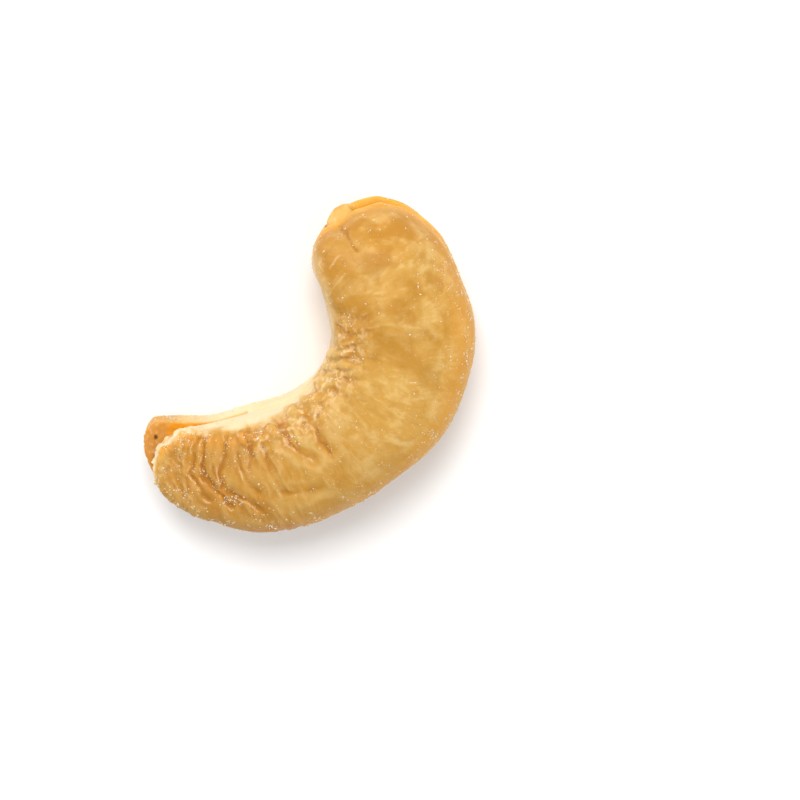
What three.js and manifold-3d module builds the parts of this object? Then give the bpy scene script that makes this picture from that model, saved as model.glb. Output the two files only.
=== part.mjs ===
// Shelled cashew kernel, roasted whole: two cotyledons face to face, and the embryo axis between their heads.
// The kernel lies on its side. Units are millimetres, +Z is up, and Z = 0 is the surface that it rests on.
// +X runs from the narrow tip to the thick head, and +Y is the hollow side of the bend, called the belly.
import * as THREE from "three";
import { mergeVertices } from "three/addons/utils/BufferGeometryUtils.js";
import Module from "manifold-3d";

const wasm = await Module();
wasm.setup();

// Driving dimensions
const MID_HEIGHT = 5.3; // height of the middle of the kernel above the surface
const SEAM_GAP = 0.3; // slit between the two cotyledons
const SEAM_TILT = 0.05; // drop of the slit, per millimetre from the tip to the head
const SEAM_WAVE = 0.18; // how far the slit winds up and down
const SEAM_WAVE_LENGTH = 17;
const RIM_TUCK = 0.28; // how far each cotyledon's edge draws in at the slit
const RIM_HEIGHT = 0.45; // height over which it draws in

// Ribs across the kernel, from the tip to the head: a point on the belly edge, a point on the back edge, and
// how far the side stands from the middle. The cotyledons share the bend, and have their own tips and heads.
const LOWER_TIP = [
  { belly: [-11.0, 7.2], back: [-11.0, 7.2], side: 0 },
  { belly: [-10.2, 7.7], back: [-11.8, 6.4], side: 1.1 },
  { belly: [-9.4, 7.6], back: [-12.4, 5.3], side: 2.0 },
  { belly: [-8.3, 6.3], back: [-12.9, 3.6], side: 3.1 },
  { belly: [-7.0, 4.8], back: [-12.5, 0.8], side: 4.3 },
];
const UPPER_TIP = [
  { belly: [-12.1, 5.4], back: [-12.1, 5.4], side: 0 },
  { belly: [-11.1, 6.0], back: [-12.6, 4.9], side: 1.2 },
  { belly: [-9.7, 6.2], back: [-12.9, 4.2], side: 1.9 },
  { belly: [-8.4, 5.8], back: [-13.0, 2.9], side: 2.6 },
  { belly: [-7.0, 4.8], back: [-12.5, 0.8], side: 3.4 },
];
const BEND = [
  { belly: [-4.7, 3.3], back: [-10.2, -3.3], below: 5.15, above: 4.3 },
  { belly: [-2.2, 1.8], back: [-6.2, -6.0], below: 5.4, above: 4.9 },
  { belly: [0.3, 1.5], back: [-1.5, -7.4], below: 5.5, above: 5.3 },
  { belly: [2.7, 2.4], back: [3.2, -7.7], below: 5.5, above: 5.4 },
  { belly: [4.1, 4.0], back: [7.5, -6.2], below: 5.5, above: 5.4 },
  { belly: [5.1, 5.6], back: [10.2, -4.2], below: 5.5, above: 5.3 },
];
const LOWER_HEAD = [
  { belly: [6.0, 6.9], back: [11.8, -1.3], side: 5.4 },
  { belly: [7.3, 7.7], back: [12.9, 1.5], side: 4.8 },
  { belly: [8.9, 7.9], back: [13.0, 3.7], side: 3.8 },
  { belly: [10.6, 7.5], back: [12.7, 5.4], side: 2.3 },
  { belly: [12.0, 6.7], back: [12.0, 6.7], side: 0 },
];
const UPPER_HEAD = [
  { belly: [5.9, 7.0], back: [11.8, -1.3], side: 4.9 },
  { belly: [7.4, 7.9], back: [12.9, 1.5], side: 4.3 },
  { belly: [8.95, 7.55], back: [13.0, 3.5], side: 3.4 },
  { belly: [10.3, 7.2], back: [12.7, 5.0], side: 2.2 },
  { belly: [11.9, 6.3], back: [11.9, 6.3], side: 0 },
];
const LOWER_RIBS = [...LOWER_TIP, ...BEND.map((rib) => ({ ...rib, side: rib.below })), ...LOWER_HEAD];
const UPPER_RIBS = [...UPPER_TIP, ...BEND.map((rib) => ({ ...rib, side: rib.above })), ...UPPER_HEAD];

// Roundness of a section from the slit to the side: 1 is an ellipse, and less is flatter with a shoulder
const BACK_ROUNDNESS = 0.92;
const LOWER_BELLY_ROUNDNESS = 0.85;
const UPPER_BELLY_ROUNDNESS = 0.62;
const SHOULDER_ROUNDNESS = 0.48; // of the upper belly on the narrow arm
const SHOULDER_TO = 10.0; // distance along the middle line from the tip to where the shoulder begins to fade
const SHOULDER_FADED = 17.0; // distance to where it has faded

// Wrinkles across the side of the narrow arm
const WRINKLE_SPACING = 1.7;
const WRINKLE_DEPTH = 0.11;
const WRINKLE_SLANT = 0.22; // how far a wrinkle leans towards the bend, per millimetre from belly to back
const WRINKLE_FROM = 1.0; // distance along the middle line from the tip to where the wrinkles are full
const WRINKLE_TO = 15.0; // distance to where they have faded
const WAVER = 0.8; // how far a wrinkle strays, in radians of its own wave
const WAVER_ALONG = 7.0; // length of the straying, along the arm
const WAVER_ACROSS = 4.8; // and across it

// Embryo axis: a blunt peg between the cotyledons, whose root tip shows in a notch of the upper one's edge
const AXIS_RADIUS = 1.05;
const AXIS_LENGTH = 3.6;
const AXIS_TIP = [9.2, 8.1];
const AXIS_DROP = 0.85; // how far it lies below the slit
const AXIS_TURN = THREE.MathUtils.degToRad(82); // direction of the root tip, from +X

// Fineness of the faceted surface
const STATIONS = 72;
const SIDE_STEPS = 20;
const FACE_STEPS = 6;
const EDGE_CROWDING = 0.35; // how much closer together the steps are at the edges
const AXIS_STEPS = 7;
const AXIS_SIDES = 18;

function curveThrough(points) {
  return new THREE.CatmullRomCurve3(points, false, "centripetal");
}

// The lines that carry a cotyledon: its belly edge, back edge and middle line, and how its side stands out
function guideLines(ribs) {
  const flat = ([x, y]) => new THREE.Vector3(x, y, 0);
  const middle = (rib) => flat(rib.belly).lerp(flat(rib.back), 0.5);
  return {
    belly: curveThrough(ribs.map((rib) => flat(rib.belly))),
    back: curveThrough(ribs.map((rib) => flat(rib.back))),
    middle: curveThrough(ribs.map(middle)),
    side: curveThrough(ribs.map((rib, i) => new THREE.Vector3(i, rib.side, 0))),
  };
}

// Shares of the middle line's length at which the stations stand, closer together at the round ends
function stationShares() {
  return Array.from({ length: STATIONS + 1 }, (_, i) => {
    const even = i / STATIONS;
    const crowded = (1 - Math.cos(Math.PI * even)) / 2;
    return (even + crowded) / 2;
  });
}

// Angles round the outer side, from the back edge to the belly edge
function sideAngles() {
  return Array.from({ length: SIDE_STEPS + 1 }, (_, j) => {
    const even = j / SIDE_STEPS;
    return Math.PI * even - EDGE_CROWDING * Math.sin(2 * Math.PI * even);
  });
}

function seamHeight(x) {
  return MID_HEIGHT - SEAM_TILT * x + SEAM_WAVE * Math.sin((2 * Math.PI * x) / SEAM_WAVE_LENGTH);
}

function upperBellyRoundness(along) {
  const faded = THREE.MathUtils.smoothstep(along, SHOULDER_TO, SHOULDER_FADED);
  return THREE.MathUtils.lerp(SHOULDER_ROUNDNESS, UPPER_BELLY_ROUNDNESS, faded);
}

// Height of the wrinkled side over the smooth one, by the distance along the arm and across it from the belly
function wrinkle(along, across) {
  const fadeIn = THREE.MathUtils.smoothstep(along, 0, WRINKLE_FROM);
  const fadeOut = 1 - THREE.MathUtils.smoothstep(along, WRINKLE_FROM, WRINKLE_TO);
  const turns = (along - WRINKLE_SLANT * across) / WRINKLE_SPACING;
  const strayAlong = Math.sin((2 * Math.PI * along) / WAVER_ALONG);
  const strayAcross = Math.sin((2 * Math.PI * across) / WAVER_ACROSS);
  const angle = 2 * Math.PI * turns + WAVER * (strayAlong + strayAcross);
  return WRINKLE_DEPTH * fadeIn * fadeOut * Math.sin(angle);
}

// One closed loop of points: over the outer side from back to belly, then along the inner face to the back
function sectionLoop(lines, place, along, facing) {
  const belly = lines.belly.getPoint(place);
  const back = lines.back.getPoint(place);
  const rise = Math.max(lines.side.getPoint(place).y, 0);
  const middle = belly.clone().lerp(back, 0.5);
  const half = back.clone().sub(belly).multiplyScalar(0.5);
  const width = Math.max(half.length(), RIM_TUCK);
  const crest = MID_HEIGHT + facing * rise;
  const edge = (x) => seamHeight(x) + (facing * SEAM_GAP) / 2;
  const bellyRoundness = facing > 0 ? upperBellyRoundness(along) : LOWER_BELLY_ROUNDNESS;

  const side = sideAngles().map((angle) => {
    const cos = Math.cos(angle);
    const roundness = cos < 0 ? bellyRoundness : BACK_ROUNDNESS;
    const lift = Math.max(Math.sin(angle), 0) ** roundness;
    const tuck = RIM_TUCK * Math.exp(-(((lift * rise) / RIM_HEIGHT) ** 2));
    const reach = Math.sign(cos) * Math.abs(cos) ** roundness * (1 - tuck / width);
    const point = middle.clone().addScaledVector(half, reach);
    const foot = edge(point.x);
    const relief = wrinkle(along, (1 + reach) * width) * lift * Math.min(1, rise);
    point.z = foot + lift * (crest - foot) + facing * relief;
    return point;
  });
  const face = Array.from({ length: FACE_STEPS - 1 }, (_, j) => {
    const point = side[SIDE_STEPS].clone().lerp(side[0], (j + 1) / FACE_STEPS);
    point.z = edge(point.x);
    return point;
  });
  return [...side, ...face];
}

// A closed skin over the loops, drawn to a point at each end
function skinOver(loops, facing) {
  const around = loops[0].length;
  const tip = loops[0][0];
  const head = loops[loops.length - 1][0];
  const inner = loops.slice(1, -1);
  const points = [tip, ...inner.flat(), head];
  const last = points.length - 1;
  const at = (row, column) => 1 + row * around + (column % around);
  const faces = [];
  for (let column = 0; column < around; column += 1) {
    faces.push([0, at(0, column + 1), at(0, column)]);
    faces.push([last, at(inner.length - 1, column), at(inner.length - 1, column + 1)]);
    for (let row = 0; row + 1 < inner.length; row += 1) {
      const [a, b] = [at(row, column), at(row, column + 1)];
      const [c, d] = [at(row + 1, column), at(row + 1, column + 1)];
      faces.push([a, b, c], [b, d, c]);
    }
  }
  const outward = facing < 0 ? faces : faces.map(([a, b, c]) => [a, c, b]);
  const geometry = new THREE.BufferGeometry().setFromPoints(points);
  return geometry.setIndex(outward.flat());
}

function cotyledonSkin(ribs, facing) {
  const lines = guideLines(ribs);
  const length = lines.middle.getLength();
  const loops = stationShares().map((share) => {
    const place = lines.middle.getUtoTmapping(share);
    return sectionLoop(lines, place, share * length, facing);
  });
  return skinOver(loops, facing);
}

// The embryo axis, or with a clearance the pocket that holds it: a peg turned about its own length
function axisSkin(clearance) {
  const radius = AXIS_RADIUS + clearance;
  const length = AXIS_LENGTH + 2 * clearance;
  const profile = new THREE.Path();
  profile.moveTo(0, -length);
  profile.quadraticCurveTo(radius, -length, radius, -length / 2);
  profile.quadraticCurveTo(radius, 0, 0, 0);
  const geometry = new THREE.LatheGeometry(profile.getPoints(AXIS_STEPS), AXIS_SIDES);
  geometry.translate(0, clearance, 0);
  geometry.rotateZ(AXIS_TURN - Math.PI / 2);
  return geometry.translate(...AXIS_TIP, seamHeight(AXIS_TIP[0]) - AXIS_DROP);
}

// The block under the resting surface, which leaves the flat spot that the kernel lies on
function groundBlock() {
  const size = 60;
  return new THREE.BoxGeometry(size, size, size).translate(0, 0, -size / 2);
}

function solidFrom(geometry) {
  const bare = geometry.clone();
  bare.deleteAttribute("normal");
  bare.deleteAttribute("uv");
  const merged = mergeVertices(bare, 1e-4);
  const mesh = new wasm.Mesh({
    numProp: 3,
    vertProperties: new Float32Array(merged.attributes.position.array),
    triVerts: new Uint32Array(merged.index.array),
  });
  return new wasm.Manifold(mesh);
}

function geometryFrom(solid) {
  const mesh = solid.getMesh();
  const geometry = new THREE.BufferGeometry();
  geometry.setAttribute("position", new THREE.BufferAttribute(mesh.vertProperties, 3));
  geometry.setIndex(new THREE.BufferAttribute(mesh.triVerts, 1));
  geometry.computeVertexNormals();
  return geometry;
}

function namedMesh(name, geometry, color) {
  const material = new THREE.MeshStandardMaterial({ color, roughness: 0.5, metalness: 0 });
  const mesh = new THREE.Mesh(geometry, material);
  mesh.name = name;
  return mesh;
}

const pocket = solidFrom(axisSkin(SEAM_GAP));
const upper = solidFrom(cotyledonSkin(UPPER_RIBS, 1)).subtract(pocket);
const lower = solidFrom(cotyledonSkin(LOWER_RIBS, -1)).subtract(pocket).subtract(solidFrom(groundBlock()));

const kernel = new THREE.Group();
kernel.name = "cashew_kernel";
kernel.add(namedMesh("cotyledon_upper", geometryFrom(upper), 0xdca650));
kernel.add(namedMesh("cotyledon_lower", geometryFrom(lower), 0xdca650));
kernel.add(namedMesh("embryo_axis", axisSkin(0), 0xeec078));

// The origin is at the middle of the kernel's box, on the resting surface
const middle = new THREE.Box3().setFromObject(kernel).getCenter(new THREE.Vector3());
kernel.position.set(-middle.x, -middle.y, 0);

export default kernel;
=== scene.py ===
"""Looks of a shelled, roasted and salted cashew kernel that lies on its side, seen from above."""

import math
import random
from types import SimpleNamespace

import bpy
import numpy as np
from mathutils import Matrix, Vector, kdtree, noise


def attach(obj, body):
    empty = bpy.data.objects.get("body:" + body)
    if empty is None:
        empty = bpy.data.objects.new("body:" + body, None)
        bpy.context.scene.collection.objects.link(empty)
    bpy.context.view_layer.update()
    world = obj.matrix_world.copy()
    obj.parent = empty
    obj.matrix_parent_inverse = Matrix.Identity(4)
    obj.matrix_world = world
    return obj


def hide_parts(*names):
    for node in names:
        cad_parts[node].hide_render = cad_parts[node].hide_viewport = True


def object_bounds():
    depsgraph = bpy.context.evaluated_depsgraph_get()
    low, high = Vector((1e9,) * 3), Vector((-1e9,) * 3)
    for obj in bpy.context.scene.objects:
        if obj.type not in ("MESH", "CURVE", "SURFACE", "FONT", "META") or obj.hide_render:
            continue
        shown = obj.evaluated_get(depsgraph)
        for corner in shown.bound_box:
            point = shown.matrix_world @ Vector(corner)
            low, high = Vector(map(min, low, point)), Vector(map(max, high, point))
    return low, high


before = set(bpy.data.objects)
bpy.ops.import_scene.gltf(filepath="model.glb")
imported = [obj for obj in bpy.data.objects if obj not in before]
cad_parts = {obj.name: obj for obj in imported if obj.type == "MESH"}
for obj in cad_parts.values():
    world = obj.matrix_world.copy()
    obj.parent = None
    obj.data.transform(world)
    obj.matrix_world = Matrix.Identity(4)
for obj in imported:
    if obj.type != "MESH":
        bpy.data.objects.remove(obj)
cad_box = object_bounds()

# Sizes are in millimetres. Pieces are modelled at a thousand times their size, so that a unit is one.
MM = 0.001

# Fine skin over the solids
WELD = 0.0005  # vertices that are nearer than this are merged
SKIN_STEP = 0.101  # size of the facets
SMOOTHING = 0.5  # how far one round of smoothing goes
SKIN_ROUNDS = 12
RELIEF_ROUNDS = 1
ROOT_ROUNDS = 6
LEAST_WEIGHT = 0.001  # of a vertex that is moved

# Camera, as it stood to the kernel
PHOTO_SIDE = 800
PIXEL = 0.0680137  # size of one of the photograph's pixels at the kernel
KERNEL_PIXEL = (327.9, 388.2)  # where the middle of the kernel shows
PICTURE_TURN = math.radians(47.5)  # from the picture's right to the kernel's +X
LEAN_BACK = math.radians(15)  # of the camera, from straight above
CAMERA_DISTANCE = 350
CAMERA_CLIP = 10
SENSOR = 36

# Lamps: how far each stands to the picture's right, to its top and above, its distance and side in metres,
# and its power in watts
LAMPS = {
    "key": ((-0.05, 0.6, 1.0), 0.5, 0.18, 1.82),
    "rim": ((-1.0, 0.7, 0.35), 0.5, 0.4, 0.7),
    "fill": ((0.8, -0.2, 1.0), 0.6, 0.5, 1.0),
}
SURROUND = 0.5  # strength of the white surround
FLOOR_SIDE = 3.0  # in metres
FLOOR_DROP = 0.02

# Slit between the cotyledons
MID_HEIGHT = 5.3
SEAM_TILT = 0.05  # drop, per millimetre from the tip to the head
SEAM_WAVE = 0.18
SEAM_WAVE_LENGTH = 17
SEAM_CLOSING = 0.1  # how far each inner face swells into the slit
SEAM_SEALING = 0.07  # how much further where the slit is shut
INNER_REACH = 0.3  # how far from the slit's middle an inner face can be
INNER_SLOPE = (0.7, 0.95)  # how squarely it must face the slit
RIM_HEIGHT = 0.45
RIM_FILL = 0.2  # how far the edges fill out where the slit is shut
SLIT_LIP = 0.28  # half width of the slit's open mouth
SLIT_DEPTH = 0.12

# Middle line of the kernel, from the tip to the head
ARM_LINE = [
    (-11.7, 6.6), (-10.8, 4.8), (-9.9, 2.8), (-7.4, 0.0), (-4.2, -2.1), (-0.6, -2.9),
    (2.9, -2.6), (5.8, -1.1), (7.6, 0.7), (8.9, 2.8), (10.1, 4.6), (12.0, 6.5),
]
ARM_MARKS = 400  # points of the line that distances are taken from
ARM_HALF_WIDTH = 4.5
BEND_AT = 16.0  # distance along the line from the tip to the middle of the bend
HEAD_AT = 25.0  # and to the neck of the head

# Distances along the middle line where a change begins, and where it is done
BARE_CRUST_ENDS = (0.8, 2.0)
BARE_GLOW_BEGINS = (0.9, 1.9)
TIP_SKIN_ENDS = (1.5, 5.5)
BARE_FACE_ENDS = (4.0, 6.0)
SALTY_TIP_ENDS = (4.0, 11.0)
LEAN_ENDS = (7.0, BEND_AT)
ARM_WIDENS = (7.0, 14.0)
SLIT_ENDS = (7.5, 9.0)
SLIT_SHUTS = (8.0, 11.0)
RIPPLES_FADE = (9.0, BEND_AT)
BEND_BEGINS = (11.0, BEND_AT)
CRESTS_END = (12.0, 18.0)
LIPS_END = (14.0, 20.0)
SALTY_FOLDS_END = (14.0, 20.0)
ARM_AMBER_ENDS = (14.0, 21.0)
BEND_TO_HEAD = (BEND_AT, HEAD_AT)
HEAD_BEGINS = (HEAD_AT - 7, HEAD_AT - 1)
HEAD_ENDS = (HEAD_AT + 1, HEAD_AT + 2.5)
CROWN = (HEAD_AT + 2.5, HEAD_AT + 4.5)

# The same from the tip, as the crow flies
CREAM_BEGINS = (0.5, 2.0)
CREAM_BEGINS_BELOW = (1.0, 7.0)  # on the lower cotyledon
TIP_ENDS = (2.0, 5.0)

# The same across the middle line, to the belly
HEAD_BELLY = (-1.0, 3.0)
SHUT_SIDE = (0.0, 2.0)
SLIT_SIDE = (1.0, 2.0)

# The same across the middle line, to the back
BACK_EDGE = (2.4, 4.8)
SALTY_SEAM_SIDE = (2.5, 4.0)
SALTY_BACK = (2.6, 4.4)

# The same up from the slit, or down from it on the lower cotyledon
HEAD_SLIT = (0.05, 0.3)
LUMPS_BEGIN = (0.1, 0.8)
BARE_FACE_HEIGHT = (0.2, 0.45)
SALTY_SEAM = (0.2, 0.7)
OUTER_SIDE = (0.25, 1.0)
TIP_RIM_HEIGHT = (0.3, 0.8)
HEAD_GLOW = (0.8, 2.2)
HEAD_WALL = (1.5, 3.8)

# Noise that bends and widens things: the size of its features, its layers, each twice as fine as the last,
# and where in the endless noise it is read
NOISE = {
    "waver_right": (0.8, 2, 5.0),
    "waver_down": (0.8, 2, 45.0),
    "stray_right": (4.0, 2, 6.0),
    "stray_down": (4.0, 2, 46.0),
    "fold_width": (1.5, 1, 13.0),
    "fold_strength": (1.2, 2, 15.0),
    "ridges": (1.1, 4, 3.0),
    "tip_rim_width": (0.6, 2, 23.0),
    "speck_width": (0.25, 2, 29.0),
}

# Noise that lies in patches: the same, and the values where a patch begins and where it is full.
# Three sizes are along the arm, across it and up.
PATCHES = {
    "lumps": (3.2, 2, 1.0, -0.6, 0.6),
    "ripples": ((0.55, 2.6, 2.2), 2, 7.0, -0.4, 0.5),
    "lips": (0.7, 2, 19.0, -0.3, 0.4),
    "wrinkles": (0.8, 2, 27.0, -0.4, 0.4),
    "ridges": (1.1, 2, 11.0, -0.3, 0.3),
    "crags": ((0.85, 1.5, 1.4), 3, 9.0, -0.15, 0.45),
    "beads": (0.5, 2, 37.0, 0.0, 0.4),
    "crumbs": (0.3, 2, 21.0, -0.2, 0.5),
    "head_rim": (1.3, 2, 39.0, -0.4, 0.3),
    "flecks": (0.28, 3, 17.0, 0.0, 0.5),
    "blotches": (1.8, 4, 33.0, -0.5, 0.6),
    "head_clouds": (1.7, 4, 35.0, -0.35, 0.45),
    "salt_clumps": (0.7, 2, 31.0, 0.05, 0.5),
    "root_lumps": (0.8, 2, 2.0, -0.5, 0.5),
    "root_toast": (0.9, 3, 4.0, -0.3, 0.6),
    "root_glow": (0.6, 3, 8.0, -0.3, 0.5),
}

# Folds and creases as lines in the photograph's pixels, each with its share of the full depth
FOLDS = [
    (0.7, [(188, 431), (184, 440), (181, 450), (179, 459)]),
    (1.0, [(199, 431), (196, 440), (192, 452), (191, 463), (188, 474), (195, 480), (200, 491), (208, 502)]),
    (1.0, [(204, 433), (202, 446), (203, 458), (201, 468), (203, 478), (210, 487), (219, 496), (231, 509)]),
    (1.0, [(225, 436), (225, 448), (222, 462), (219, 474), (221, 489)]),
    (0.8, [(233, 432), (232, 442), (237, 455), (240, 467), (244, 478), (251, 487), (258, 493)]),
    (0.9, [(231, 494), (242, 500), (254, 507), (264, 514), (271, 521)]),
    (0.8, [(246, 437), (249, 445), (251, 455), (249, 470)]),
    (0.7, [(262, 446), (266, 456), (269, 472)]),
    (1.0, [(279, 419), (283, 433), (290, 445), (301, 453), (313, 459)]),
    (0.8, [(305, 415), (314, 427), (320, 443), (330, 453)]),
    (0.5, [(336, 379), (348, 380), (363, 379)]),
    (0.5, [(345, 357), (360, 358), (376, 360)]),
    (0.5, [(340, 314), (352, 318), (364, 319)]),
    (0.9, [(236, 433), (250, 430), (262, 424), (271, 421)]),
    (0.5, [(175, 478), (178, 487), (184, 497)]),
    (0.6, [(168, 452), (172, 460), (178, 467)]),
    (0.5, [(163, 468), (166, 480), (173, 491)]),
    (0.6, [(183, 478), (187, 489), (195, 499), (206, 510)]),
    (0.6, [(212, 468), (215, 479), (225, 490), (238, 505), (246, 513)]),
    (0.5, [(192, 436), (190, 446), (186, 456)]),
    (0.5, [(214, 434), (213, 445), (212, 456)]),
    (0.6, [(281, 494), (304, 494), (323, 488)]),
    (0.6, [(243, 515), (256, 520), (270, 525)]),
    (0.9, [(338, 224), (344, 231), (350, 240), (357, 251)]),
    (0.4, [(322, 262), (327, 254), (331, 246)]),
    (0.5, [(331, 281), (337, 272), (343, 262)]),
    (0.4, [(337, 296), (344, 287), (351, 279)]),
]
FOLD_DEPTH = 0.27
FOLD_FLOOR = 0.14  # half width of a fold's narrow floor
FOLD_SHADE = 1.3 * FOLD_FLOOR  # and of its line of painted shade
FOLD_FLANK = 0.5  # and of its sloping sides
FLANK_SHARE = 0.6  # share of the depth that the sides take
FOLD_UNEVEN_WIDTH = 0.3
FOLD_STRENGTH = 0.8  # usual share of the depth, how far it varies, and its least and most
FOLD_UNEVEN_STRENGTH = 0.6
FOLD_STRENGTHS = (0.25, 1.1)
FOLD_LEAN = 0.35  # how far the ripples of the narrow arm lean to the bend, per millimetre from the belly
CREST_AWAY = 0.75  # distance from a fold's floor to the crest beside it, pale with a painted highlight
CREST_WIDTH = 0.3
CREST_HEIGHT = 0.05
LIP_AWAY = 0.2  # distance from a fold's floor to the thin pale lip on the side of the tip
LIP_WIDTH = 0.07
LIP_HEIGHT = 0.012
WAVER = 2.5  # how far, in pixels, all marks waver from their lines
STRAY = 14  # and how much further they stray on the hidden side

# Low swells of the skin, and fine ripples between the folds
LUMP_DEPTH = 0.1
RIPPLE_DEPTH = 0.1
RIPPLE_TROUGHS = (0.0, 0.5)  # shares of the depth where a trough begins and is full
RIPPLES_LOST = 0.6  # share of the ripples that is lost by the bend. The rest is lost by the head.

# Thin raised wrinkles, as lines in the photograph's pixels
WRINKLES = [
    [(340, 255), (334, 262), (328, 270), (322, 277)],
    [(347, 275), (340, 281), (333, 289), (327, 297)],
    [(320, 257), (318, 265), (323, 272)],
    [(342, 312), (352, 315), (363, 315), (372, 311)],
    [(355, 330), (366, 327), (378, 328)],
]
WRINKLE_WIDTH = 0.09
WRINKLE_HEIGHT = 0.07

# Shoulder, where the smooth belly ends and the side begins, as a line in the photograph's pixels
SHOULDER = [
    (110, 433), (178, 430), (200, 429), (218, 430), (236, 430), (250, 426), (262, 421), (275, 416),
    (289, 410), (300, 403), (310, 395), (317, 385), (323, 375), (330, 363), (335, 350), (338, 335),
    (337, 318), (333, 302), (329, 288), (323, 272), (319, 255), (319, 238), (322, 227),
]
SHOULDER_GIVE = 0.5  # how far the shoulder gives way where a fold meets it
EVEN_FOLD = 0.4  # share of a full fold at which it stays where it is
BELLY_EDGE = (-0.25, 0.3)  # where the belly begins and is full, from the shoulder
BELLY_PRESS = 0.16  # how far the belly lies below the edge of the side
UNDER_SHOULDER = 0.7  # distance from the shoulder to the band of toast, painted shade and painted glow below it, and the band's half width

# Rough edge of the side at the bend, as a line in the photograph's pixels
ROUGH_EDGE = [(262, 436), (280, 428), (298, 418), (316, 404), (330, 385), (340, 362), (346, 336)]
ROUGH_REACH = 1.8  # half width of the rough stretch
SMOOTH_BELLY = 0.9  # share of the roughness that the belly is spared
CRAG_DEPTH = 0.18
CRAG_PITS = (0.3, 0.9)  # shares of the depth where a crag's pit, with its painted shade, begins and is full
RIDGE_WIDTH = 0.17  # of the thin pale ridges, as a share of the noise that draws them
RIDGE_HEIGHT = 0.08

# Knuckles that stand out of the rough edge: a half width, and a line in the photograph's pixels
KNUCKLES = [
    (0.45, [(240, 434), (243, 442)]),
    (0.5, [(270, 424), (275, 434)]),
    (0.5, [(289, 410), (300, 412)]),
    (0.45, [(303, 400), (314, 399)]),
    (0.7, [(323, 382), (335, 379)]),
    (0.45, [(327, 367), (345, 365)]),
    (0.4, [(332, 355), (347, 353)]),
    (0.35, [(341, 345), (352, 343)]),
]
KNUCKLE_HEIGHT = 0.28
KNUCKLE_SLOPE = (0.3, 1.15)  # where its slope begins and ends, in half widths
KNUCKLE_BARE_OF_RIDGES = 0.7
KNUCKLE_BARE_OF_CRAGS = 0.6

# Broken rim of the tip, as a line in the photograph's pixels, and the bare inner face beside it
TIP_RIM = [(190, 428), (178, 429), (170, 438), (158, 448), (151, 460), (147, 474)]
TIP_RIM_WIDTH = 0.2
TIP_RIM_RAGGED = 0.7  # how far its width varies
TIP_GLOW_AWAY = 0.3  # distance from the rim to the band of painted glow beside it
TIP_GLOW_WIDTH = 0.35
BEAD_HEIGHT = 0.14  # of the crumbs that stand out along the rim
CRUMB_DEPTH = 0.12
BARE_FACE_SLOPE = (0.4, 0.8)  # how squarely the bare face must face the slit

# Head: its thin rim above the slit, and the lobe beside its crease
HEAD_RIM_AT = 0.45
HEAD_RIM_WIDTH = 0.2
HEAD_RIM_HEIGHT = 0.07
HEAD_RIM_LEAST = 0.55  # share of the height where the rim is lowest
EAR_PIXEL = (325, 249)
EAR_RADIUS = 1.0
EAR_HEIGHT = 0.14

# Scorched specks: a place in the photograph's pixels and a radius
SPECKS = [((158, 434), 0.17), ((331, 336), 0.07), ((432, 228), 0.06), ((262, 449), 0.06), ((217, 493), 0.07)]
SPECK_STRAY = 4  # how far, in pixels, the nearest skin may be from a speck's place
SPECK_RAGGED = 0.6  # how far its radius varies
SPECK_FADES = (0.6, 1.2)  # in radii
SPECK_FACING = 0.3  # how squarely the skin must face the camera to take a speck
OUT_OF_SIGHT = 1000  # pixels that are added to the distance of skin that faces away

# Cream of the belly: its paler colour, with a painted highlight
CREAM_EDGE = (-0.25, 0.4)  # where it begins and is full, from the shoulder
CREAM_BEND_BLUR = (0.35, 0.4)  # how much sooner it begins at the bend, and how much later it is full
CREAM_HEAD_BLUR = 0.3  # how much later still it is full on the head
BLOTCHES = 0.2  # share of the cream that is lost in a blotch
HEAD_BLOTCHES = 0.35  # and how much more on the head

# Root tip, which fills its pocket
ROOT_SWELL = (1.45, 1.0, 1.27)
ROOT_LUMP_DEPTH = 0.05
ROOT_COLOURS = 0.6  # share of its toasted patches and of its patches of painted glow

# Salt grains
GRAIN_COUNT = 10500
GRAIN_BATCH = 500  # grains that are joined at a time
GRAIN_SIZES = (0.025, 0.09)
GRAIN_RARITY = 3  # how much rarer large grains are than small ones, as a power
GRAIN_STRETCH = (0.55, 1.35)
GRAIN_WEAR = 0.3  # how far a grain's corners are moved, as a share of its size
GRAIN_WEAR_SEED = 3
GRAIN_SINK = 0.3  # share of a grain's size that is below the skin
GRAIN_SPACE = 1.7 * GRAIN_SIZES[1]  # distance that grains keep from the sides of the solids' box
GRAIN_SEED = 11

# How thickly salt lies
SALT_EVERYWHERE = 0.2
SALT_IN_FOLDS = 1.8
SALT_OFF_HEAD_FOLDS = 0.8  # share that the folds past the bend lack
SALT_AT_TIP = 1.3
SALT_ON_BACK = 0.7
SALT_AT_SEAM = 2.0
SALT_IN_PITS = 0.9
SALT_BETWEEN_CLUMPS = 0.15
SALT_IN_CLUMPS = 2.0
SALT_OFF_CREAM = 0.85  # share that the cream belly lacks

# Patterns of the flesh. Three sizes are along the arm, across it and up.
CLOUD_SIZE = (1.7, 2.6, 2.4)
STREAK_SIZE = (0.5, 1.05, 0.95)
PATCH_SIZE = 2.4
DUST_SIZE = 0.16
PORE_SIZE = 0.5
DUST_HEIGHT = 0.05
PORE_HEIGHT = 0.12
FLESH_CLEARNESS = 0.9  # how far light wanders in the flesh
SALT_CLOUD_SIZE = 0.4
SALT_CLEARNESS = 0.15

# Sockets of a Mix node that mixes colours
MIX_SHARE, MIX_UNDER, MIX_OVER, MIX_COLOUR = 0, 6, 7, 2


def alone(piece):
    """Selects one piece and makes it active."""
    bpy.ops.object.select_all(action="DESELECT")
    piece.select_set(True)
    bpy.context.view_layer.objects.active = piece
    return piece


def finish_with(piece, kind, **settings):
    """Adds a modifier with its settings and applies it."""
    modifier = alone(piece).modifiers.new(kind.lower(), kind)
    for key, value in settings.items():
        setattr(modifier, key, value)
    bpy.ops.object.modifier_apply(modifier=modifier.name)


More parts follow.
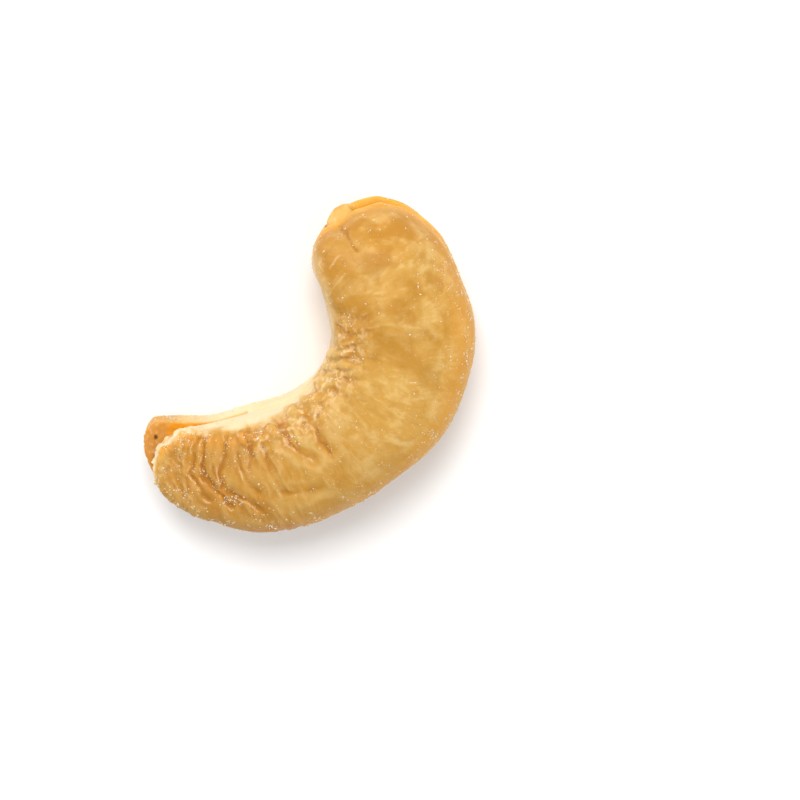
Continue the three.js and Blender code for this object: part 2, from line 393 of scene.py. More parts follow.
def rescale(piece, factor):
    """Makes a piece larger or smaller about the origin."""
    alone(piece).scale = (factor, factor, factor)
    bpy.ops.object.transform_apply(location=False, rotation=False, scale=True)


def joined(pieces):
    """Makes one piece of several."""
    bpy.ops.object.select_all(action="DESELECT")
    for piece in pieces:
        piece.select_set(True)
    bpy.context.view_layer.objects.active = pieces[0]
    bpy.ops.object.join()
    return bpy.context.object


def places(piece):
    """The vertices of a piece, as rows of x, y and z."""
    flat = np.empty(3 * len(piece.data.vertices))
    piece.data.vertices.foreach_get("co", flat)
    return flat.reshape(-1, 3)


def outward(piece):
    """The vertex normals of a piece, as rows."""
    flat = np.empty(3 * len(piece.data.vertices), np.float32)
    piece.data.vertex_normals.foreach_get("vector", flat)
    return flat.reshape(-1, 3)


def press(piece, name, weights, height):
    """Moves the skin out by a height, as far as its weights say, through a painted vertex group."""
    group = piece.vertex_groups.new(name=name)
    for i in np.flatnonzero(weights > LEAST_WEIGHT):
        group.add([int(i)], float(weights[i]), "REPLACE")
    finish_with(piece, "DISPLACE", vertex_group=name, strength=height, mid_level=0.0)
    piece.vertex_groups.remove(piece.vertex_groups[name])


def paint(piece, name, values):
    """Keeps numbers, or rows of three, on the vertices, for the material to read."""
    kind, key = ("FLOAT_VECTOR", "vector") if values.ndim == 2 else ("FLOAT", "value")
    attribute = piece.data.attributes.new(name, kind, "POINT")
    attribute.data.foreach_set(key, values.astype(np.float32).ravel())


def painted(piece, name):
    """Numbers that were painted on the vertices."""
    values = np.empty(len(piece.data.vertices), np.float32)
    piece.data.attributes[name].data.foreach_get("value", values)
    return values


def step(low, high, value):
    """0 up to low, 1 from high, and smooth between."""
    share = np.clip((value - low) / (high - low), 0, 1)
    return share * share * (3 - 2 * share)


def bell(value, centre, width):
    """1 at the centre, falling off smoothly to both sides."""
    return np.exp(-(((value - centre) / width) ** 2))


def strongest(*layers):
    """The largest of several masks at each point, each by its share."""
    return np.maximum.reduce([share * mask for share, mask in layers])


def noise_at(points, size, layers, start):
    """Smooth noise from about -1 to 1."""
    shift = Vector((start, 2 * start, 3 * start))
    return np.array([noise.fractal(Vector(p) + shift, 1.0, 2.0, layers) for p in points / np.array(size)])


def drift(points, name):
    """Noise that bends and widens things, from about -1 to 1."""
    return noise_at(points, *NOISE[name])


def patches(points, name):
    """Noise that lies in patches, from 0 to 1."""
    *field, low, high = PATCHES[name]
    return step(low, high, noise_at(points, *field))


def seam_height(x):
    """Height of the slit's middle."""
    return MID_HEIGHT - SEAM_TILT * x + SEAM_WAVE * np.sin(2 * math.pi * x / SEAM_WAVE_LENGTH)


def arm_places(points):
    """Distance of each point along the middle line from the tip, and across it to the belly."""
    corners = np.array(ARM_LINE)
    lengths = np.concatenate([[0], np.cumsum(np.linalg.norm(np.diff(corners, axis=0), axis=1))])
    marks = np.linspace(0, lengths[-1], ARM_MARKS)
    line = np.stack([np.interp(marks, lengths, corners[:, k]) for k in range(2)], axis=1)
    heading = np.gradient(line, axis=0)
    heading /= np.linalg.norm(heading, axis=1, keepdims=True)
    tree = kdtree.KDTree(len(line))
    for i, (x, y) in enumerate(line):
        tree.insert((x, y, 0), i)
    tree.balance()
    nearest = np.array([tree.find((x, y, 0))[1] for x, y, _ in points])
    away = points[:, :2] - line[nearest]
    to_belly = np.stack([-heading[nearest, 1], heading[nearest, 0]], axis=1)
    along = marks[nearest] + np.sum(away * heading[nearest], axis=1)
    return along, np.sum(away * to_belly, axis=1)


def picture_axes():
    """The picture's right and up and the way back to the camera, as directions in the kernel's frame."""
    right = Vector((math.cos(PICTURE_TURN), -math.sin(PICTURE_TURN), 0))
    level = Vector((math.sin(PICTURE_TURN), math.cos(PICTURE_TURN), 0))
    above = Vector((0, 0, 1))
    back = math.sin(LEAN_BACK) * level + math.cos(LEAN_BACK) * above
    up = math.cos(LEAN_BACK) * level - math.sin(LEAN_BACK) * above
    return right, up, back


def picture_aim():
    """The point that shows in the middle of the picture."""
    right, up, _ = picture_axes()
    half = PHOTO_SIDE / 2
    aside = (half - KERNEL_PIXEL[0]) * right - (half - KERNEL_PIXEL[1]) * up
    return Vector((0, 0, MID_HEIGHT)) + aside * PIXEL


def picture_places(points):
    """Where points show in the photograph, in its pixels."""
    right, up, back = (np.array(axis) for axis in picture_axes())
    away = points - np.array(picture_aim())
    spread = CAMERA_DISTANCE / (CAMERA_DISTANCE - away @ back) / PIXEL
    half = PHOTO_SIDE / 2
    return np.stack([half + (away @ right) * spread, half - (away @ up) * spread], axis=1)


def marked_places(points, facing):
    """Where points take their marks from the photograph: wavering, and further off on the hidden side."""
    spots = picture_places(points)
    spots += WAVER * np.stack([drift(points, "waver_right"), drift(points, "waver_down")], axis=1)
    if facing < 0:
        spots += STRAY * np.stack([drift(points, "stray_right"), drift(points, "stray_down")], axis=1)
    return spots


def line_distance(spots, corners):
    """Distance of each place in the picture to a line, in millimetres, and whether it is left of the line."""
    nearest = np.full(len(spots), np.inf)
    left = np.zeros(len(spots), bool)
    for start, end in zip(corners, corners[1:]):
        run = np.array(end) - np.array(start)
        away = spots - np.array(start)
        share = np.clip((away @ run) / (run @ run), 0, 1)
        distance = np.linalg.norm(away - share[:, None] * run, axis=1) * PIXEL
        left = np.where(distance < nearest, run[0] * away[:, 1] < run[1] * away[:, 0], left)
        nearest = np.minimum(nearest, distance)
    return nearest, left


def skin_of(node, piece_name):
    """A fine smooth skin over a CAD node."""
    piece = bpy.data.objects.new(piece_name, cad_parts[node].data.copy())
    bpy.context.scene.collection.objects.link(piece)
    rescale(piece, 1 / MM)
    piece.data.materials.clear()
    bpy.ops.object.mode_set(mode="EDIT")
    bpy.ops.mesh.select_all(action="SELECT")
    bpy.ops.mesh.remove_doubles(threshold=WELD)
    bpy.ops.object.mode_set(mode="OBJECT")
    finish_with(piece, "REMESH", mode="VOXEL", voxel_size=SKIN_STEP, use_smooth_shade=True)
    return piece


def close_slit(piece, facing):
    """Brings the inner faces together, and shuts the slit along the belly from the bend to the head."""
    points = places(piece)
    along, across = arm_places(points)
    height = facing * (points[:, 2] - seam_height(points[:, 0]))
    shut = step(*SLIT_SHUTS, along) * step(*SHUT_SIDE, across)
    inner = (height < INNER_REACH) * step(*INNER_SLOPE, -facing * outward(piece)[:, 2])
    press(piece, "inner_face", inner, SEAM_CLOSING)
    press(piece, "inner_seal", inner * shut, SEAM_SEALING)
    press(piece, "rim", bell(height, 0.0, RIM_HEIGHT) * shut * (1 - inner), RIM_FILL)


def fold_depths(spots, points):
    """How deep the folds are, where their floors take painted shade, and how high the crests and lips beside
    them, from 0 to 1.
    """
    deep, dark, crest, lip = (np.zeros(len(spots)) for _ in range(4))
    widening = 1 + FOLD_UNEVEN_WIDTH * drift(points, "fold_width")
    strength = FOLD_STRENGTH + FOLD_UNEVEN_STRENGTH * drift(points, "fold_strength")
    strength = np.clip(strength, *FOLD_STRENGTHS)
    for share, corners in FOLDS:
        distance, left = line_distance(spots, corners)
        away = distance / widening
        floor = bell(away, 0.0, FOLD_FLOOR)
        flank = bell(away, 0.0, FOLD_FLANK)
        deep = np.maximum(deep, share * ((1 - FLANK_SHARE) * floor + FLANK_SHARE * flank))
        dark = np.maximum(dark, share * bell(away, 0.0, FOLD_SHADE))
        crest = np.maximum(crest, share * bell(away, CREST_AWAY, CREST_WIDTH))
        lip = np.maximum(lip, share * bell(away, LIP_AWAY, LIP_WIDTH) * ~left)
    lip *= patches(points, "lips")
    return deep * strength, dark * strength, crest * strength * (1 - deep), lip


def survey(piece, facing):
    """Where the points of a cotyledon are: along the arm, across it, off the slit, and in the picture."""
    points = places(piece)
    along, across = arm_places(points)
    lean = FOLD_LEAN * (ARM_HALF_WIDTH - across) * (1 - step(*LEAN_ENDS, along))
    return SimpleNamespace(
        facing=facing, upper=facing > 0, points=points, normals=outward(piece), along=along, across=across,
        height=facing * (points[:, 2] - seam_height(points[:, 0])),
        from_tip=np.linalg.norm(points[:, :2] - np.array(ARM_LINE[0]), axis=1),
        arm=np.stack([along - lean, across, points[:, 2]], axis=1),
        spots=marked_places(points, facing))


def mark_side(at):
    """Finds the smooth belly, and the outer side with its folds, ripples and wrinkles."""
    at.outer = step(*OUTER_SIDE, at.height)
    at.shoulder, beyond = line_distance(at.spots, SHOULDER)
    at.deep, at.dark, crest, lip = fold_depths(at.spots, at.points)
    at.past = np.where(beyond, at.shoulder, -at.shoulder) + SHOULDER_GIVE * (at.deep - EVEN_FOLD)
    at.belly = step(*BELLY_EDGE, at.past)
    at.side = at.outer * (1 - at.belly)
    at.crest = crest * at.side * (1 - step(*CRESTS_END, at.along))
    at.lip = lip * at.side * (1 - step(*LIPS_END, at.along))
    lost = RIPPLES_LOST * step(*RIPPLES_FADE, at.along) + (1 - RIPPLES_LOST) * step(*BEND_TO_HEAD, at.along)
    at.ripples = patches(at.arm, "ripples") * at.side * (1 - lost)
    at.lumps = patches(at.points, "lumps") * step(*LUMPS_BEGIN, at.height)
    lines = [(1.0, bell(line_distance(at.spots, corners)[0], 0.0, WRINKLE_WIDTH)) for corners in WRINKLES]
    at.wrinkles = strongest(*lines) * at.outer * patches(at.points, "wrinkles")
    at.slit = bell(at.height, 0.0, SLIT_LIP) * step(*SLIT_SIDE, at.across) * (1 - step(*SLIT_ENDS, at.along))


def mark_bend(at):
    """Finds the rough edge of the bend, with its knuckles, ridges, crags and pits."""
    at.rough = bell(line_distance(at.spots, ROUGH_EDGE)[0], 0.0, ROUGH_REACH) * at.outer
    at.rough *= 1 - SMOOTH_BELLY * at.belly
    at.knuckles = np.zeros(len(at.points))
    for half_width, corners in KNUCKLES if at.upper else []:
        away = line_distance(at.spots, corners)[0] / half_width
        at.knuckles = np.maximum(at.knuckles, (1 - step(*KNUCKLE_SLOPE, away)) * at.outer)
    at.ridges = bell(drift(at.points, "ridges"), 0.0, RIDGE_WIDTH) * at.rough
    at.ridges *= patches(at.points, "ridges") * (1 - KNUCKLE_BARE_OF_RIDGES * at.knuckles)
    at.crags = patches(at.arm, "crags") * at.rough * (1 - KNUCKLE_BARE_OF_CRAGS * at.knuckles)
    at.pits = step(*CRAG_PITS, at.crags)


def mark_tip(at):
    """Finds the tip, its broken rim and crumbs, and the bare inner face beside it."""
    at.inner = (1 - step(*BARE_FACE_HEIGHT, at.height)) * (1 - step(*BARE_FACE_ENDS, at.along))
    at.inner *= step(*BARE_FACE_SLOPE, -at.facing * at.normals[:, 2])
    at.tip = 1 - step(*TIP_ENDS, at.from_tip)
    at.tip_skin = (1 - step(*TIP_SKIN_ENDS, at.along)) * at.outer
    at.tip_rim = (1 - step(*TIP_RIM_HEIGHT, at.height)) * at.tip * (1 - at.inner)
    rim_away = line_distance(at.spots, TIP_RIM)[0]
    if at.upper:
        ragged = TIP_RIM_WIDTH * (1 + TIP_RIM_RAGGED * drift(at.points, "tip_rim_width"))
        at.tip_rim = np.maximum(at.tip_rim, bell(rim_away, 0.0, ragged))
    at.tip_glow = bell(rim_away, TIP_GLOW_AWAY, TIP_GLOW_WIDTH) * at.outer * at.upper
    at.beads = at.tip_rim * patches(at.points, "beads") * at.upper
    at.crumbs = patches(at.points, "crumbs")
    at.crumbs *= strongest((1.0, at.tip_rim), (0.7, at.tip_skin), (0.5, at.inner))


def mark_head(at):
    """Finds the end of the head, its thin rim, and the lobe beside its crease."""
    at.head_end = step(*HEAD_ENDS, at.along)
    at.head_rim = bell(at.height, HEAD_RIM_AT, HEAD_RIM_WIDTH) * at.head_end
    at.head_rim *= HEAD_RIM_LEAST + (1 - HEAD_RIM_LEAST) * patches(at.points, "head_rim")
    ear_away = np.linalg.norm(at.spots - np.array(EAR_PIXEL), axis=1) * PIXEL
    at.ear = bell(ear_away, 0.0, EAR_RADIUS) * at.outer


def mark_specks(at):
    """Finds the scorched specks, each about the nearest skin that shows in its place."""
    at.specks = np.zeros(len(at.points))
    turned_away = at.normals @ np.array(picture_axes()[2]) < SPECK_FACING
    for pixel, radius in SPECKS:
        away = np.linalg.norm(at.spots - np.array(pixel), axis=1) + OUT_OF_SIGHT * turned_away
        if away.min() < SPECK_STRAY:
            from_middle = np.linalg.norm(at.points - at.points[np.argmin(away)], axis=1)
            ragged = radius * (1 + SPECK_RAGGED * drift(at.points, "speck_width"))
            at.specks = np.maximum(at.specks, 1 - step(*SPECK_FADES, from_middle / ragged))


def press_relief(piece, at):
    """Presses the relief of a cotyledon into its skin and out of it."""
    sunken = at.belly * at.outer * (1 - step(*BEND_TO_HEAD, at.along)) * at.upper
    for name, weights, height in [
        ("lumps", at.lumps, -LUMP_DEPTH),
        ("belly", sunken, -BELLY_PRESS),
        ("folds", at.deep * at.side, -FOLD_DEPTH),
        ("crests", at.crest, CREST_HEIGHT),
        ("lips", at.lip, LIP_HEIGHT),
        ("knuckles", at.knuckles, KNUCKLE_HEIGHT),
        ("ridges", at.ridges, RIDGE_HEIGHT),
        ("crags", at.crags, -CRAG_DEPTH),
        ("slit", at.slit, -SLIT_DEPTH),
        ("ripples", at.ripples, -RIPPLE_DEPTH),
        ("crumbs", at.crumbs, -CRUMB_DEPTH),
        ("beads", at.beads, BEAD_HEIGHT),
        ("head_rim", at.head_rim, HEAD_RIM_HEIGHT),
        ("ear", at.ear, EAR_HEIGHT),
        ("wrinkles", at.wrinkles, WRINKLE_HEIGHT),
    ]:
        press(piece, name, weights, height)
    finish_with(piece, "SMOOTH", factor=SMOOTHING, iterations=RELIEF_ROUNDS)


def belly_cream_and_highlight(at, head):
    """How cream the belly is, with its painted highlight: softly edged at the bend and the head, and
    blotched.
    """
    bend = step(*BEND_BEGINS, at.along)
    begins = CREAM_EDGE[0] - CREAM_BEND_BLUR[0] * bend
    full = CREAM_EDGE[1] + CREAM_BEND_BLUR[1] * bend + CREAM_HEAD_BLUR * head
    blotched = (BLOTCHES + HEAD_BLOTCHES * head) * patches(at.points, "blotches")
    near_tip = step(*(CREAM_BEGINS if at.upper else CREAM_BEGINS_BELOW), at.from_tip)
    return step(begins, full, at.past) * (1 - blotched) * near_tip


def paint_flesh(piece, at):
    """Paints where a cotyledon is cream, amber, toasted or crusted, and its painted highlight, shade and
    glow, each part by its share.
    """
    narrow = 1 - step(*ARM_WIDENS, at.along)
    head = step(*HEAD_BEGINS, at.along)
    head_clouds = patches(at.points, "head_clouds")
    head_wall = (1 - step(*HEAD_WALL, at.height)) * at.head_end * at.outer
    crown = step(*CROWN, at.along) * at.outer
    back_edge = step(*BACK_EDGE, -at.across)
    under_shoulder = bell(at.shoulder, UNDER_SHOULDER, UNDER_SHOULDER) * at.side * narrow
    between_ripples = (1 - step(*RIPPLE_TROUGHS, at.ripples)) * narrow
    flecks = patches(at.points, "flecks")
    bare_crust = at.inner * (1 - step(*BARE_CRUST_ENDS, at.along))

    paint(piece, "arm", at.arm)
    # Painted shade along the folds' floors, with a little of the flesh's own brown
    paint(piece, "dark", at.dark * at.side)
    # Painted shade in the crags' pits
    paint(piece, "pit", at.pits)
    paint(piece, "inner", at.inner)
    # Painted glow on the far part of the bare inner face
    paint(piece, "inner_glow", at.inner * step(*BARE_GLOW_BEGINS, at.along))
    paint(piece, "scorched", at.specks * (1 if at.upper else at.inner))
    # Pale raised tops of crests, wrinkles, knuckles and ripples: a painted highlight, partly paler flesh
    paint(piece, "crest", strongest(
        (1.0, at.crest), (0.6, at.wrinkles), (0.5, at.knuckles), (0.7, between_ripples)))
    paint(piece, "crust", strongest(
        (1.0, at.ridges * (0.6 + 0.4 * flecks)), (0.7, at.lip), (0.4, at.wrinkles), (0.7, at.rough * flecks),
        (0.25, at.tip_skin * flecks), (0.4, bare_crust * flecks)))
    # Amber: the flesh's deeper gold, with painted shade over the arm and the head's left side
    paint(piece, "amber_and_painted_shade", at.side * strongest(
        (0.8, narrow * (1 - 0.15 * at.tip)), (0.5, 1 - step(*ARM_AMBER_ENDS, at.along)),
        (0.7, head * step(*HEAD_BELLY, at.across)), (1.0, head * (0.25 + 0.65 * head_clouds)),
        (0.45, at.rough)))
    # Toast: roasting brown, with painted shade in the folds and ripples, under the shoulder, along the back
    # edge and on the lower cotyledon's tip
    paint(piece, "toast_and_painted_shade", strongest(
        (0.9, at.deep * at.side), (0.5, at.ripples * narrow), (0.6, under_shoulder),
        (1.0, back_edge * (0.5 + 0.5 * narrow)), (0.35, crown), (0.6, head_wall),
        (0.0 if at.upper else 0.8, at.tip)))
    # Painted glow, as of light through thin flesh: beside the tip's rim, along the back edge, under the
    # shoulder and near the head's seam
    paint(piece, "painted_glow", strongest(
        (0.9, at.tip_glow), (0.6, back_edge * (1 - narrow)), (0.4, under_shoulder),
        (0.8, (1 - step(*HEAD_GLOW, at.height)) * at.head_end)))
    # Cream: the belly's paler colour with a painted highlight, the broken rim of the tip, and a painted
    # highlight along the head's rim
    paint(piece, "cream_and_painted_highlight", strongest(
        (1.0, belly_cream_and_highlight(at, head)), (0.95 if at.upper else 0.3, at.tip_rim), (0.2, at.head_rim)))
    # Painted shade, golden, in the slit's mouth and along the seam of the head
    paint(piece, "slit", strongest(
        (1.0, at.slit), (0.8, (1 - step(*HEAD_SLIT, at.height)) * at.head_end)))


def keep_in_box(piece):
    """Brings back what stands out of the solids' box by a hair."""
    low, high = (np.array(corner) / MM for corner in cad_box)
    piece.data.vertices.foreach_set("co", np.clip(places(piece), low, high).ravel())
    piece.data.update()


def shape_cotyledon(piece, facing):
    """Gives a cotyledon its relief and colours. Facing is 1 for the upper one and -1 for the lower one."""
    close_slit(piece, facing)
    finish_with(piece, "SMOOTH", factor=SMOOTHING, iterations=SKIN_ROUNDS)
    at = survey(piece, facing)
    for mark in (mark_side, mark_bend, mark_tip, mark_head, mark_specks):
        mark(at)
    press_relief(piece, at)
    paint_flesh(piece, at)
    keep_in_box(piece)


def shape_root_tip(piece):
    """Swells the root tip until it fills its pocket."""
    middle = places(piece).mean(axis=0)
    alone(piece)
    bpy.ops.object.mode_set(mode="EDIT")
    bpy.ops.mesh.select_all(action="SELECT")
    bpy.ops.transform.resize(value=ROOT_SWELL, center_override=middle.tolist())
    bpy.ops.object.mode_set(mode="OBJECT")
    finish_with(piece, "SMOOTH", factor=SMOOTHING, iterations=ROOT_ROUNDS)
    points = places(piece)
    press(piece, "lumps", patches(points, "root_lumps"), -ROOT_LUMP_DEPTH)
    paint(piece, "arm", points)
    paint(piece, "toast_and_painted_shade", ROOT_COLOURS * patches(points, "root_toast"))
    # Patches of painted glow
    paint(piece, "painted_glow", ROOT_COLOURS * patches(points, "root_glow"))


def salt_density(piece):
    """How thickly the salt lies: in clumps, most in the folds, at the tip and along the back."""
    points = places(piece)
    along, across = arm_places(points)
    off_seam = np.abs(points[:, 2] - seam_height(points[:, 0]))
    in_folds = painted(piece, "dark") * (1 - SALT_OFF_HEAD_FOLDS * step(*SALTY_FOLDS_END, along))
    at_seam = (1 - step(*SALTY_SEAM, off_seam)) * step(*SALTY_SEAM_SIDE, -across)
    density = SALT_EVERYWHERE + SALT_IN_FOLDS * in_folds
    density += SALT_AT_TIP * (1 - step(*SALTY_TIP_ENDS, along))
    density += SALT_ON_BACK * step(*SALTY_BACK, -across)
    density += SALT_AT_SEAM * at_seam
    density += SALT_IN_PITS * painted(piece, "pit")
    density *= SALT_BETWEEN_CLUMPS + SALT_IN_CLUMPS * patches(points, "salt_clumps")
    low, high = (np.array(corner) / MM for corner in cad_box)
    inside = np.all((points > low + GRAIN_SPACE) & (points < high - GRAIN_SPACE), axis=1)
    bare = np.maximum(painted(piece, "inner"), SALT_OFF_CREAM * painted(piece, "cream_and_painted_highlight"))
    return density * inside * (1 - bare)


def crystal():
    """One worn salt grain, a millimetre across."""
    bpy.ops.object.select_all(action="DESELECT")
    bpy.ops.mesh.primitive_cube_add(size=1)
    grain = bpy.context.object
    bpy.ops.object.mode_set(mode="EDIT")
    bpy.ops.mesh.select_all(action="SELECT")
    bpy.ops.transform.vertex_random(offset=GRAIN_WEAR, seed=GRAIN_WEAR_SEED)
    bpy.ops.object.mode_set(mode="OBJECT")
    return grain


def salt_over(pieces):
    """Salt grains, stuck to the skins by chance."""
    chance = random.Random(GRAIN_SEED)
    spots, weights = [], []
    for piece in pieces:
        spots += list(zip(places(piece), outward(piece)))
        weights += salt_density(piece).tolist()
    grain = crystal()
    smallest, largest = GRAIN_SIZES
    batches, copies = [], []
    for point, normal in chance.choices(spots, weights, k=GRAIN_COUNT):
        size = smallest + (largest - smallest) * chance.random() ** GRAIN_RARITY
        copy = grain.copy()
        copy.data = grain.data.copy()
        copy.scale = [size * chance.uniform(*GRAIN_STRETCH) for _ in range(3)]
        copy.rotation_euler = [chance.uniform(0, 2 * math.pi) for _ in range(3)]
        copy.location = Vector(point) + Vector(normal) * size * (0.5 - GRAIN_SINK)
        bpy.context.scene.collection.objects.link(copy)
        copies.append(copy)
        if len(copies) == GRAIN_BATCH:
            batches.append(joined(copies))
            copies = []
    bpy.data.objects.remove(grain)
    salt = joined(batches)
    salt.name = "salt_grains"
    bpy.ops.object.transform_apply(location=True, rotation=True, scale=True)
    return salt


def linear(code):
    """The linear colour of an sRGB hex value."""
    shares = [int(code[k:k + 2], 16) / 255 for k in (1, 3, 5)]
    return [s / 12.92 if s <= 0.04045 else ((s + 0.055) / 1.055) ** 2.4 for s in shares] + [1.0]


def add(tree, kind, inputs=None, **settings):
    """Adds a node with its settings. An input is a value, or another node's output to link."""
    made = tree.nodes.new(kind)
    for key, value in settings.items():
        setattr(made, key, value)
    for key, value in (inputs or {}).items():
        if isinstance(value, bpy.types.NodeSocket):
            tree.links.new(value, made.inputs[key])
        else:
            made.inputs[key].default_value = value
    return made


def new_material(name):
    """A material with no nodes yet."""
    material = bpy.data.materials.new(name)
    material.use_nodes = True
    material.node_tree.nodes.clear()
    return material


def roasted_flesh(name, gold, pale, deep):
    """Roasted seed flesh: waxy, a little translucent, clouded where fat shows, brown where it was hottest,
    with painted light and shade.
    """
    material = new_material(name)
    tree = material.node_tree
    spot = add(tree, "ShaderNodeTexCoord").outputs["Object"]
    arm = add(tree, "ShaderNodeAttribute", attribute_name="arm").outputs["Vector"]
    stretched = {}
    for pattern, size in [("clouds", CLOUD_SIZE), ("streaks", STREAK_SIZE)]:
        mapping = add(tree, "ShaderNodeMapping", {"Vector": arm, "Scale": [1 / s for s in size]})
        stretched[pattern] = add(tree, "ShaderNodeTexNoise", {
            "Vector": mapping.outputs["Vector"], "Scale": 1.0, "Detail": 4.0, "Roughness": 0.6,
            "Distortion": 0.5}).outputs["Fac"]
    even = {}
    for pattern, size in [("patches", PATCH_SIZE), ("dust", DUST_SIZE), ("pores", PORE_SIZE)]:
        even[pattern] = add(tree, "ShaderNodeTexNoise", {
            "Vector": spot, "Scale": 1 / (size * MM), "Detail": 3.0, "Roughness": 0.55}).outputs["Fac"]
    marks = {}
    for mark in [
        "amber_and_painted_shade", "dark", "pit", "crest", "crust", "cream_and_painted_highlight", "toast_and_painted_shade", "painted_glow", "slit", "inner", "inner_glow",
        "scorched",
    ]:
        marks[mark] = add(tree, "ShaderNodeAttribute", attribute_name=mark).outputs["Fac"]

    # From the ground up: a colour, the pattern that lays it on, the values where it starts and is full, and
    # how much it covers where it is full
    layers = [
        (pale, stretched["clouds"], 0.45, 0.68, 0.6),
        (deep, even["patches"], 0.52, 0.3, 0.6),
        (pale, stretched["streaks"], 0.48, 0.72, 0.5),
        (deep, stretched["streaks"], 0.46, 0.27, 0.5),
        # Painted highlight on raised tops, partly paler flesh
        (pale, marks["crest"], 0.0, 1.0, 0.65),
        # Amber: deeper gold of the flesh, with painted shade
        ("#AE7823", marks["amber_and_painted_shade"], 0.0, 1.0, 0.7),
        # Toast: roasting brown, with painted shade
        ("#BC7210", marks["toast_and_painted_shade"], 0.0, 1.0, 0.6),
        # Painted glow, as of light through the flesh
        ("#E6A53C", marks["painted_glow"], 0.0, 1.0, 0.6),
        # Cream, with painted highlight
        ("#EBD4AE", marks["cream_and_painted_highlight"], 0.0, 1.0, 0.9),
        # Painted shade in the folds, with a little of the flesh's own brown
        ("#96601C", marks["dark"], 0.1, 1.0, 0.4),
        # Painted shade in the crags' pits
        ("#BE8440", marks["pit"], 0.0, 1.0, 0.45),
        # Painted shade, golden, in the slit
        ("#D9A03A", marks["slit"], 0.0, 1.0, 0.9),
        ("#C58838", marks["inner"], 0.0, 1.0, 0.9),
        # Painted glow on the bare inner face
        ("#E09410", marks["inner_glow"], 0.0, 1.0, 0.8),
        ("#F3D8AE", marks["crust"], 0.0, 1.0, 0.6),
        ("#F0DFBC", even["dust"], 0.65, 0.78, 0.35),
        ("#56300F", marks["scorched"], 0.0, 1.0, 0.9),
    ]
    colour = linear(gold)
    for tint, pattern, start, full, cover in layers:
        share = add(tree, "ShaderNodeMapRange", {
            "Value": pattern, "From Min": start, "From Max": full, "To Max": cover},
            interpolation_type="SMOOTHSTEP")
        mixed = add(tree, "ShaderNodeMix", {
            MIX_SHARE: share.outputs["Result"], MIX_UNDER: colour, MIX_OVER: linear(tint)}, data_type="RGBA")
        colour = mixed.outputs[MIX_COLOUR]

    sheen = add(tree, "ShaderNodeMapRange", {
        "Value": even["pores"], "From Min": 0.3, "From Max": 0.7, "To Min": 0.34, "To Max": 0.52})
    fine = add(tree, "ShaderNodeBump", {
        "Height": even["dust"], "Strength": 0.3, "Distance": DUST_HEIGHT * MM})
    uneven = add(tree, "ShaderNodeBump", {
        "Height": even["pores"], "Strength": 0.25, "Distance": PORE_HEIGHT * MM,
        "Normal": fine.outputs["Normal"]})
    shader = add(tree, "ShaderNodeBsdfPrincipled", {
        "Base Color": colour, "Roughness": sheen.outputs["Result"], "IOR": 1.46, "Specular IOR Level": 0.1,
        "Normal": uneven.outputs["Normal"], "Subsurface Weight": 0.5,
        "Subsurface Radius": (1.0, 0.6, 0.25), "Subsurface Scale": FLESH_CLEARNESS * MM})
    add(tree, "ShaderNodeOutputMaterial", {"Surface": shader.outputs["BSDF"]})
    return material


def table_salt():
    """Table salt: small white crystals, clear in the body and frosted by their worn faces."""
    material = new_material("table_salt_crystals")
    tree = material.node_tree
    spot = add(tree, "ShaderNodeTexCoord").outputs["Object"]
    cloud = add(tree, "ShaderNodeTexNoise", {
        "Vector": spot, "Scale": 1 / (SALT_CLOUD_SIZE * MM), "Detail": 2.0})
    share = add(tree, "ShaderNodeMapRange", {
        "Value": cloud.outputs["Fac"], "From Min": 0.35, "From Max": 0.65})
    mixed = add(tree, "ShaderNodeMix", {
        MIX_SHARE: share.outputs["Result"], MIX_UNDER: linear("#DCBE86"), MIX_OVER: linear("#F0E2C6")},
        data_type="RGBA")
    shader = add(tree, "ShaderNodeBsdfPrincipled", {
        "Base Color": mixed.outputs[MIX_COLOUR], "Roughness": 0.3, "IOR": 1.54, "Subsurface Weight": 0.5,
        "Subsurface Radius": (1.0, 0.9, 0.75), "Subsurface Scale": SALT_CLEARNESS * MM})
    add(tree, "ShaderNodeOutputMaterial", {"Surface": shader.outputs["BSDF"]})
    return material


def studio_floor():
    """White matt board, which gives a soft shadow and no reflection."""
    bpy.ops.object.select_all(action="DESELECT")
    bpy.ops.mesh.primitive_plane_add(size=FLOOR_SIDE, location=(0, 0, -FLOOR_DROP * MM))
    floor = bpy.context.object
    floor.name = "floor"
    material = new_material("white_matt_board")
    tree = material.node_tree
    shader = add(tree, "ShaderNodeBsdfPrincipled", {"Base Color": linear("#F8F8F8"), "Roughness": 0.9})
    add(tree, "ShaderNodeOutputMaterial", {"Surface": shader.outputs["BSDF"]})
    floor.data.materials.append(material)


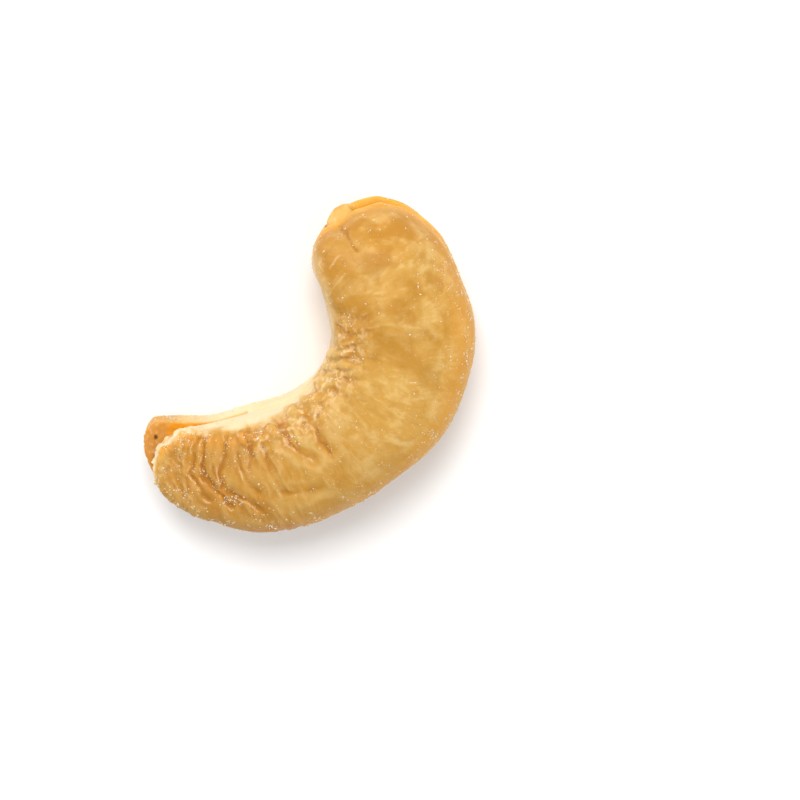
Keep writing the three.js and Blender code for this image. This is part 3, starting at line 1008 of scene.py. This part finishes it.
def photo_camera():
    """Camera at the photograph's viewing angle."""
    right, up, back = picture_axes()
    data = bpy.data.cameras.new("photo_camera")
    data.sensor_width = SENSOR
    data.lens = SENSOR * CAMERA_DISTANCE / (PIXEL * PHOTO_SIDE)
    data.clip_start = CAMERA_CLIP * MM
    camera = bpy.data.objects.new("photo_camera", data)
    bpy.context.scene.collection.objects.link(camera)
    turn = Matrix((right, up, back)).transposed().to_4x4()
    camera.matrix_world = Matrix.Translation((picture_aim() + CAMERA_DISTANCE * back) * MM) @ turn
    bpy.context.scene.camera = camera


def studio_light():
    """Square lamps that shine on the kernel, and a white surround."""
    right, up, _ = picture_axes()
    level = Vector((up.x, up.y, 0)).normalized()
    above = Vector((0, 0, 1))
    for name, ((to_right, to_top, to_above), distance, side, power) in LAMPS.items():
        towards = right * to_right + level * to_top + above * to_above
        data = bpy.data.lights.new(name, "AREA")
        data.size = side
        data.energy = power
        lamp = bpy.data.objects.new(name, data)
        bpy.context.scene.collection.objects.link(lamp)
        lamp.location = towards.normalized() * distance
        lamp.rotation_mode = "QUATERNION"
        lamp.rotation_quaternion = (-towards).to_track_quat("-Z", "Y")
    world = bpy.data.worlds.new("white_surround")
    world.use_nodes = True
    surround = world.node_tree.nodes["Background"]
    surround.inputs["Color"].default_value = linear("#FFFFFF")
    surround.inputs["Strength"].default_value = SURROUND
    bpy.context.scene.world = world
    bpy.context.scene.view_settings.view_transform = "Standard"


photo_camera()
studio_light()
studio_floor()

upper = skin_of("cotyledon_upper", "upper_cotyledon")
shape_cotyledon(upper, 1)
lower = skin_of("cotyledon_lower", "lower_cotyledon")
shape_cotyledon(lower, -1)
root_tip = skin_of("embryo_axis", "root_tip")
shape_root_tip(root_tip)
salt = salt_over([upper, lower])

flesh = roasted_flesh("roasted_cashew_flesh", "#CA9C4E", "#E2C482", "#B78838")
root_flesh = roasted_flesh("roasted_root_flesh", "#DCAE62", "#E8C88C", "#C8933F")
crystals = table_salt()
for piece, node, slot, material in [
    (upper, "cotyledon_upper", "kernel_flesh", flesh),
    (lower, "cotyledon_lower", "kernel_flesh", flesh),
    (root_tip, "embryo_axis", "embryo_flesh", root_flesh),
    (salt, None, "salt", crystals),
]:
    rescale(piece, MM)
    piece.data.materials.clear()
    piece.data.materials.append(material)
    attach(piece, "root")
    if node:
        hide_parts(node)
